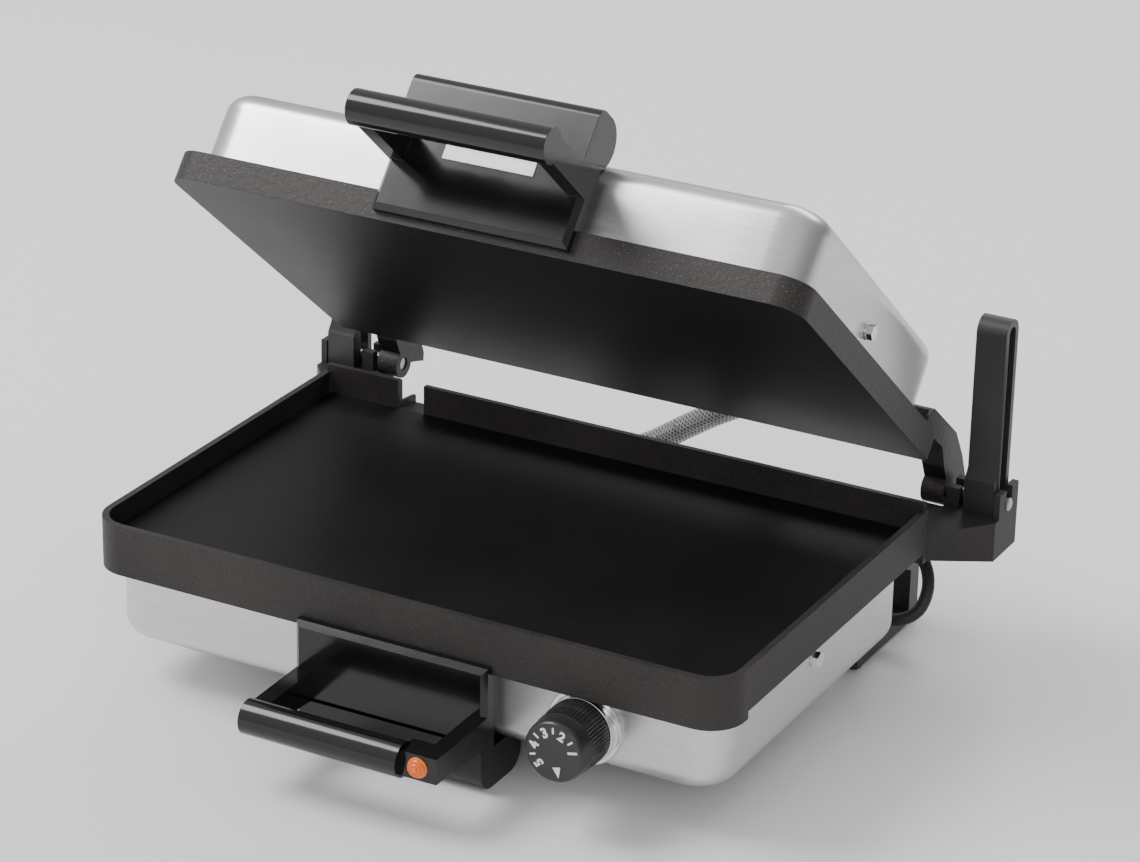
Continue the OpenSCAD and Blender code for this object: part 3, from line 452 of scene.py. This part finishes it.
def catmull(points, steps):
    out = []
    n = len(points)
    for i in range(n - 1):
        b, c = Vector(points[i]), Vector(points[i + 1])
        a = Vector(points[i - 1]) if i else 2 * b - c
        d = Vector(points[i + 2]) if i + 2 < n else 2 * c - b
        for k in range(steps):
            t = k / steps
            even = 2 * b + t * (c - a) + t * t * (2 * a - 5 * b + 4 * c - d)
            out.append((even + t ** 3 * (3 * b - a - 3 * c + d)) / 2)
    out.append(Vector(points[-1]))
    return out


lead_points = [
    (150, 272, 58), (150, 284, 58), (154, 295, 57), (163, 301, 54.5), (174, 301, 50), (183, 296, 42),
    (187, 289, 32), (185, 282, 22), (177, 277, 16.5), (166, 276, 14.6), (154, 278, 13.8), (143, 281, 10),
    (133, 284, 6.2), (122, 286, 4.4), (108, 286, 4.1), (90, 285, 4.1), (70, 284, 4.1), (50, 284.5, 4.1),
    (30, 286.5, 4.1), (10, 289.5, 4.2), (-6, 291.2, 4.5), (-20, 291.7, 4.7),
]
tail_points = [(-46, 291.7, 19.7), (-56, 290.6, 19.6), (-67, 289, 19.3), (-78, 288, 19), (-88, 288, 19)]
COIL = (-35, 338)
TURNS = 4


def step(t, a, b):
    s = min(1, max(0, (t - a) / (b - a)))
    return s * s * (3 - 2 * s)


def coil_point(turned):
    """The winding: outer and inner ring on the table, up, back outwards, and up again."""
    r = 46.2 - 7.55 * step(turned, 300, 360) + 7.55 * step(turned, 900, 960)
    z = 4.8 + 7.55 * step(turned, 600, 660) + 7.4 * step(turned, 1200, 1260)
    a = math.radians(-90 - turned)
    return Vector((COIL[0] + r * math.cos(a), COIL[1] + r * math.sin(a), z))


route = catmull(lead_points, 4)
route += [coil_point(15 * k) for k in range(0, 24 * TURNS + 1)]
route += catmull(tail_points, 4)
curve = bpy.data.curves.new("mains_lead", "CURVE")
curve.dimensions = "3D"
curve.bevel_depth = LEAD / 2000
curve.bevel_resolution = 5
spline = curve.splines.new("POLY")
spline.points.add(len(route) - 1)
for q, p in zip(spline.points, route):
    q.co = (*spot(*p), 1)
curve.use_fill_caps = True
lead = bpy.data.objects.new("mains_lead", curve)
bpy.context.scene.collection.objects.link(lead)
curve.materials.append(LOOKS["rubber"])
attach(lead, "base")
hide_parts("cord", "cord_coil", "cord_tail")

# ---------------------------------------------------------------- conduit

low_end = Vector((-45, 254, 53))
low = [low_end + Vector(p) for p in (
    (0, 0, 0), (1, 11, 0.5), (6, 22, 3), (17, 31, 11), (33, 35, 22), (52, 36, 33), (69.3, 36, 45.2),
)]
MID = low[-1]
high_end = Vector((95, *opened(248, 127.5)))
high = [MID] + [high_end + Vector(p) for p in (
    (-53, 6.3, -45.3), (-37, 8.3, -36.3), (-22, 11.3, -28.3), (-10, 13.3, -20.3), (-2.5, 11.3, -13.3),
    (0, 5.3, -4.5), (0, 0, 0),
)]


def hose(name, points, radius, body, cad, first_length):
    line = catmull(points, 8)
    sides = 32
    verts, faces, uvs = [], [], []
    normal = Vector((0, 0.1, 1))
    length = first_length
    lengths = []
    for i, p in enumerate(line):
        t = (line[min(i + 1, len(line) - 1)] - line[max(i - 1, 0)]).normalized()
        normal = (normal - normal.dot(t) * t).normalized()
        side = t.cross(normal)
        if i:
            length += (p - line[i - 1]).length / 1000
        lengths.append(length)
        for k in range(sides):
            a = 2 * math.pi * k / sides
            verts.append(spot(*(p + radius * (math.cos(a) * normal + math.sin(a) * side))))
    for i in range(len(line) - 1):
        for k in range(sides):
            q = (k + 1) % sides
            faces.append((i * sides + k, i * sides + q, (i + 1) * sides + q, (i + 1) * sides + k))
            u0, u1, v0, v1 = k / sides, (k + 1) / sides, lengths[i], lengths[i + 1]
            uvs.append(((u0, v0), (u1, v0), (u1, v1), (u0, v1)))
    mesh = bpy.data.meshes.new(name)
    mesh.from_pydata([tuple(v) for v in verts], [], faces)
    layer = mesh.uv_layers.new(name="UVMap")
    flat = [c for face in uvs for uv in face for c in uv]
    layer.data.foreach_set("uv", flat)
    obj = bpy.data.objects.new(name, mesh)
    bpy.context.scene.collection.objects.link(obj)
    mesh.materials.append(LOOKS["braid"])
    mesh.polygons.foreach_set("use_smooth", [True] * len(mesh.polygons))
    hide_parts(cad)
    return obj, length


lower_hose, hose_length = hose("braided_conduit_lower", low, 7.4, "base", "conduit_lower", 0.0)
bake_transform(lower_hose)
upper_hose, _ = hose("braided_conduit_upper", high, 7.4, "lid", "conduit_upper", hose_length)
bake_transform(upper_hose)

# ---------------------------------------------------------------- drawn steel shells


def rounded(hx, hy, r, n=10):
    """Outline of a rounded rectangle about the origin, with extra points along its sides."""
    pts = []
    spans = 14
    ex, ey = hx - r, hy - r
    corners = [(ex, -ey, -90), (ex, ey, 0), (-ex, ey, 90), (-ex, -ey, 180)]
    for i, (cx, cy, a0) in enumerate(corners):
        for k in range(n + 1):
            a = math.radians(a0 + 90 * k / n)
            pts.append((cx + r * math.cos(a), cy + r * math.sin(a)))
        nx, ny, a1 = corners[(i + 1) % 4]
        a = math.radians(a1)
        end = (nx + r * math.cos(a), ny + r * math.sin(a))
        start = pts[-1]
        for k in range(1, spans):
            pts.append(tuple(p + (q - p) * k / spans for p, q in zip(start, end)))
    return pts


def drawn_shell(name, hx, y0, y1, wall, crown, place, body, cad):
    """A deep-drawn cover: open rim, straight walls, rolled edge and a lightly crowned face."""
    hy, cy = (y1 - y0) / 2, (y0 + y1) / 2
    edge, corner = 12, 24
    rings = []
    for h in (0, 0.35 * (wall - edge), 0.7 * (wall - edge)):
        rings.append((hx, hy, corner, 1, h))
    for k in range(11):
        a = math.radians(90 * k / 10)
        inset = edge * (1 - math.cos(a))
        rings.append((hx - inset, hy - inset, corner - inset, 1, wall - edge + edge * math.sin(a)))
    for k in range(1, 13):
        s = 1 - k / 12.5
        rings.append((hx - edge, hy - edge, corner - edge, s, wall + crown * (1 - s ** 2.2)))
    verts, faces = [], []
    count = 0
    for ax, ay, r, s, h in rings:
        pts = rounded(ax, ay, r)
        count = len(pts)
        for x, y in pts:
            verts.append(place(x * s, cy + y * s, h))
    for j in range(len(rings) - 1):
        for k in range(count):
            q = (k + 1) % count
            faces.append((j * count + k, j * count + q, (j + 1) * count + q, (j + 1) * count + k))
    verts.append(place(0, cy, wall + crown))
    last = (len(rings) - 1) * count
    for k in range(count):
        faces.append((last + k, last + (k + 1) % count, len(verts) - 1))
    inner = len(verts)
    for x, y in rounded(hx - 1, hy - 1, corner - 1):
        verts.append(place(x, cy + y, 0))
    for x, y in rounded(hx - 1, hy - 1, corner - 1):
        verts.append(place(x, cy + y, wall - edge))
    for k in range(count):
        q = (k + 1) % count
        faces.append((k, q, inner + q, inner + k))
        faces.append((inner + k, inner + q, inner + count + q, inner + count + k))
    mesh = mesh_of(name, verts, faces)
    obj = put(name, mesh, ["steel", "steel_side"], body, [cad], 60)
    mesh.polygons.foreach_set("material_index", [1 if abs(p.normal.x) > 0.75 else 0 for p in mesh.polygons])
    return obj


# Half width, front, back, wall height and crown of each cover, and where its open rim lies
LID_COVER = (186.5, 13.5, 240, 51.5, 5)
LID_RIM = 100
BASE_COVER = (192, 8, 246, 51, 5)
BASE_RIM = 78
drawn_shell("lid_cover", *LID_COVER, lambda x, y, h: lid_spot(x, y, LID_RIM + h), "lid", "lid_housing")
drawn_shell("base_cover", *BASE_COVER, lambda x, y, h: spot(x, y, BASE_RIM - h), "base", "base_housing")

# ---------------------------------------------------------------- castings


TRAY_FLOOR = (0.086, 0.0885)
TRAY_HALF = 0.197


def plate_faces(c, n):
    """Slot 1 on the tray's cooking floor, 0 elsewhere."""
    on_floor = n.z > 0.9 and TRAY_FLOOR[0] < c.z < TRAY_FLOOR[1]
    return 1 if on_floor and abs(c.x) < TRAY_HALF else 0


def lid_faces(c, n):
    """Slot 1 on the lid's cooking face, 0 elsewhere."""
    local = TILT.inverted() @ n
    return 1 if local.z < -0.9 else 0


refined("lower_plate", ["cast", "cook"], 1.3, 3, pick=plate_faces)
refined("upper_plate", ["cast_lid", "cook_lid"], 1.3, 3, pick=lid_faces)

# ---------------------------------------------------------------- handles, loops, feet

refined("base_handle", ["bakelite"], 1.1, 3)
refined("lid_handle", ["bakelite"], 1.1, 3)
refined("base_handle_spacer", ["spacer"], 0.9, 3)
refined("lid_handle_spacer", ["spacer"], 0.9, 3)
for n in ("guide_loop_left", "guide_loop_right"):
    refined(n, ["paint"], 0.7, 2)
for n in ("rear_foot_left", "rear_foot_right"):
    refined(n, ["paint"], 0.9, 2)
for n in ("hinge_pin_left", "hinge_pin_right"):
    refined(n, ["pin"], 0.5, 2)
for n in ("base_side_bolts", "lid_side_bolts"):
    refined(n, ["bright"], 0.4, 2)
for n in ("base_side_washers", "lid_side_washers"):
    refined(n, ["bright"], 0.25, 2)
refined("badge_plate", ["label"], 0.2, 2)
refined("conduit_base_nut", ["nickel"], 0.5, 2)
refined("conduit_lid_nut", ["nickel"], 0.5, 2)
refined("knob_bezel", ["bright"], 0.5, 2)
refined("cord_gland", ["rubber"], 0.5, 2)
refined("terminal_block", ["ceramic"], 0.6, 2)
refined("thermostat_body", ["ceramic"], 0.8, 2)

finish_nodes(["lower_element", "upper_element"], "sheath")
finish_nodes([half + name for half in ("lower", "upper")
              for name in ("_element_clamps", "_clamp_screws", "_heat_shield")], "zinc")
finish_nodes(["base_handle_screws", "lid_handle_screws", "rear_foot_screws", "guide_loop_screws",
              "thermostat_shaft"], "zinc")
finish_nodes(["lower_insulation", "upper_insulation"], "fibre")
finish_nodes(["thermostat_sensor"], "copper")
finish_nodes(["pilot_lamp_body"], "ceramic")
finish_nodes(["foot_pads", "cord_tie", "plug_body", "cord_strain_relief"], "rubber")
finish_nodes(["plug_pins"], "nickel")

# ---------------------------------------------------------------- pilot lamp

lamp_profile = [
    (6, 0), (6, 2.4), (5.8, 2.8), (5.3, 3.0), (5.2, 4.1), (4.9, 4.5), (4.3, 4.6), (4.0, 4.2), (3.6, 4.2),
    (3.4, 4.9), (3.1, 5.3), (2.5, 5.4), (2.2, 5.0), (1.8, 5.0), (1.6, 5.6), (1.2, 5.9), (0.5, 6.0),
]
lens_lo, lens_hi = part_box("pilot_lamp_lens")
LENS = Vector(((lens_lo[0] + lens_hi[0]) / 2, lens_hi[1], (lens_lo[2] + lens_hi[2]) / 2))
lamp = lathe("pilot_lens", lamp_profile, LENS, TO_FRONT, 48,
             lambda r, h, k: (-0.25 if k % 4 in (0, 1) else 0.0) if r > 4.8 and h > 2.9 else 0)
put("pilot_lens", lamp, ["amber"], "base", ["pilot_lamp_lens"], 25)

# ---------------------------------------------------------------- knob

knob_lo, knob_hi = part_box("knob")
KNOB = Vector(((knob_lo[0] + knob_hi[0]) / 2, knob_hi[1], (knob_lo[2] + knob_hi[2]) / 2))
RIBS = 60
FACE = 28.2


def rib(r, h, k):
    if 0.9 < h < 18 and r > 17:
        return (0.0, -0.25, -0.55, -0.25)[k % 4]
    return 0


knob_profile = [
    (17.6, 0), (18.7, 0.4), (18.95, 1.0), (18.95, 8.0), (18.7, 8.5), (18.5, 8.9), (18.5, 17.6),
    (18.3, 18.2), (18.1, 18.6), (17.9, 25.0), (17.6, 26.7), (17.1, 27.7), (16.6, 28.3), (16.2, 28.5),
    (15.9, 28.3), (15.4, FACE), (2, FACE), (0.5, FACE),
]
knob_mesh = lathe("thermostat_knob", knob_profile, KNOB, TO_FRONT, 4 * RIBS, rib)
put("thermostat_knob", knob_mesh, ["knob"], "knob", ["knob"], 30)


def dial_text(body_text, angle, radius, size):
    data = bpy.data.curves.new("dial_" + body_text, "FONT")
    data.body = body_text
    data.size = size / 1000
    data.align_x = "CENTER"
    data.align_y = "CENTER"
    data.extrude = 0.00010
    data.offset = 0.00030
    temp = bpy.data.objects.new("dial_" + body_text, data)
    bpy.context.scene.collection.objects.link(temp)
    mesh = bpy.data.meshes.new_from_object(temp.evaluated_get(bpy.context.evaluated_depsgraph_get()))
    bpy.data.objects.remove(temp)
    a = math.radians(angle)
    middle = Vector((radius / 1000 * math.cos(a), radius / 1000 * math.sin(a), (FACE + 0.1) / 1000))
    mesh.transform(Matrix.Translation(middle) @ Matrix.Rotation(a - math.pi / 2, 4, "Z"))
    mesh.transform(Matrix.Translation(KNOB) @ TO_FRONT.to_4x4())
    put("dial_numeral_" + body_text, mesh, ["white"], "knob")


def dial_mark(name, angle, shape):
    a = math.radians(angle)
    turn = Matrix.Rotation(a, 3, "Z")
    verts = [turn @ Vector((r, s, h)) for h in (FACE - 0.1, FACE + 0.15) for r, s in shape]
    n = len(shape)
    faces = [tuple(range(n)), tuple(range(2 * n - 1, n - 1, -1))]
    faces += [(k, (k + 1) % n, n + (k + 1) % n, n + k) for k in range(n)]
    mesh = mesh_of(name, [KNOB + TO_FRONT @ v / 1000 for v in verts], faces)
    put(name, mesh, ["white"], "knob")


# Degrees round the dial, anticlockwise from the right: the first numeral, and from one to the next
FIRST, APART = 13, 52.5
TICK = [(11.0, -0.55), (14.6, -0.55), (14.6, 0.55), (11.0, 0.55)]
POINTER = [(8.4, -2.4), (14.6, 0), (8.4, 2.4)]
for k in range(5):
    dial_text(str(k + 1), FIRST + APART * k, 11.4, 7.6)
for k in range(4):
    dial_mark("dial_tick_%d" % (k + 1), FIRST + APART * (k + 0.5), TICK)
dial_mark("dial_pointer", 284, POINTER)

# ---------------------------------------------------------------- floor and light


def stage_floor():
    mesh = mesh_of("floor", [(-6, -5, 0), (6, -5, 0), (6, 9, 0), (-6, 9, 0)], [(0, 1, 2, 3)])
    mat, b, co = material("pale_floor", Base_Color=(0.86, 0.85, 0.86), Roughness=0.5)
    cloud = noise(mat, co, 1.2, 2, 0.5)
    wire(mat, mix(mat, cloud, (0.84, 0.83, 0.845), (0.88, 0.87, 0.88)), b.inputs["Base Color"])
    obj = bpy.data.objects.new("floor", mesh)
    bpy.context.scene.collection.objects.link(obj)
    mesh.materials.append(mat)


def lamp_at(name, place, target, size, power, tone=(1, 1, 1)):
    data = bpy.data.lights.new(name, "AREA")
    data.shape = "RECTANGLE"
    data.size, data.size_y = size
    data.energy = power
    data.color = tone
    obj = bpy.data.objects.new(name, data)
    bpy.context.scene.collection.objects.link(obj)
    obj.location = place
    obj.rotation_mode = "QUATERNION"
    obj.rotation_quaternion = (Vector(target) - Vector(place)).to_track_quat("-Z", "Y")


stage_floor()
world = bpy.data.worlds.new("studio")
bpy.context.scene.world = world
world.use_nodes = True


def studio_sky():
    """Soft studio light: bright above and to the left, dimmer low at the right and behind."""
    background = world.node_tree.nodes["Background"]
    background.inputs["Color"].default_value = (0.88, 0.88, 0.90, 1)
    split = world.node_tree.nodes.new("ShaderNodeVectorMath")
    split.operation = "DOT_PRODUCT"
    wire(world, coordinates(world, "Generated"), split.inputs[0])
    split.inputs[1].default_value = (-0.55, -0.35, 0.75)
    grade = world.node_tree.nodes.new("ShaderNodeMapRange")
    wire(world, split.outputs["Value"], grade.inputs["Value"])
    for key, value in (("From Min", -0.6), ("From Max", 0.9), ("To Min", 0.28), ("To Max", 1.15)):
        grade.inputs[key].default_value = value
    wire(world, grade.outputs["Result"], background.inputs["Strength"])


studio_sky()
lamp_at("key", (-1.6, -0.6, 2.2), (0, 0, 0.1), (1.4, 1.2), 58)
lamp_at("fill", (1.8, -2.4, 1.6), (0, 0, 0.1), (1.6, 1.0), 14)
lamp_at("back", (0.3, 2.4, 2.0), (0, 0, 0.15), (2.4, 1.0), 34)
